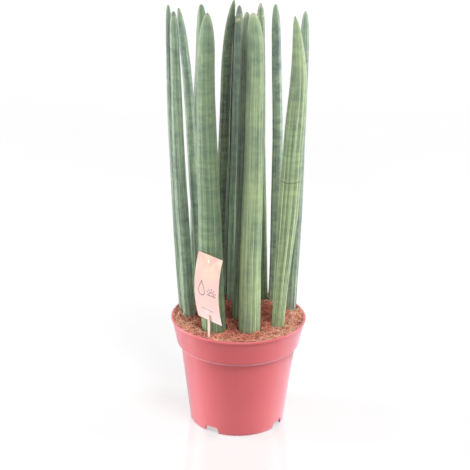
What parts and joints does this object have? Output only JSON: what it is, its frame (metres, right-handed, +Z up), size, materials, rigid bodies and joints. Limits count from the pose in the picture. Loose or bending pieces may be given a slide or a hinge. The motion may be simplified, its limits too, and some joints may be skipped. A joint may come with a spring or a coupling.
{
  "type": "potted cylindrical snake plant",
  "caption": "Upright round ribbed leaves of a cylindrical snake plant standing in coir soil in a tapered plastic nursery pot, with a card tag on a stick.",
  "frame": {"origin": "centre of the pot's foot, on the surface the pot stands on", "axes": "+Z up along the pot's axis and the leaves, -Y to the side that the tag faces, +X to the right seen from there"},
  "size_m": [0.1755, 0.17, 0.528],
  "materials": {
    "pot_plastic": "satin moulded plastic",
    "coir_soil": "loose coir fibre",
    "leaf_skin": "satin waxy leaf skin",
    "tag_board": "matt card",
    "stick_wood": "bare wood"
  },
  "bodies": {
    "root": {"pot": "pot_plastic", "soil": "coir_soil", "leaf_01": "leaf_skin", "leaf_02": "leaf_skin", "leaf_03": "leaf_skin", "leaf_04": "leaf_skin", "leaf_05": "leaf_skin", "leaf_06": "leaf_skin", "leaf_07": "leaf_skin", "leaf_08": "leaf_skin", "leaf_09": "leaf_skin", "leaf_10": "leaf_skin", "leaf_11": "leaf_skin", "leaf_12": "leaf_skin", "leaf_13": "leaf_skin", "leaf_14": "leaf_skin", "tag_card": "tag_board", "tag_stick": "stick_wood"}
  },
  "joints": []
}
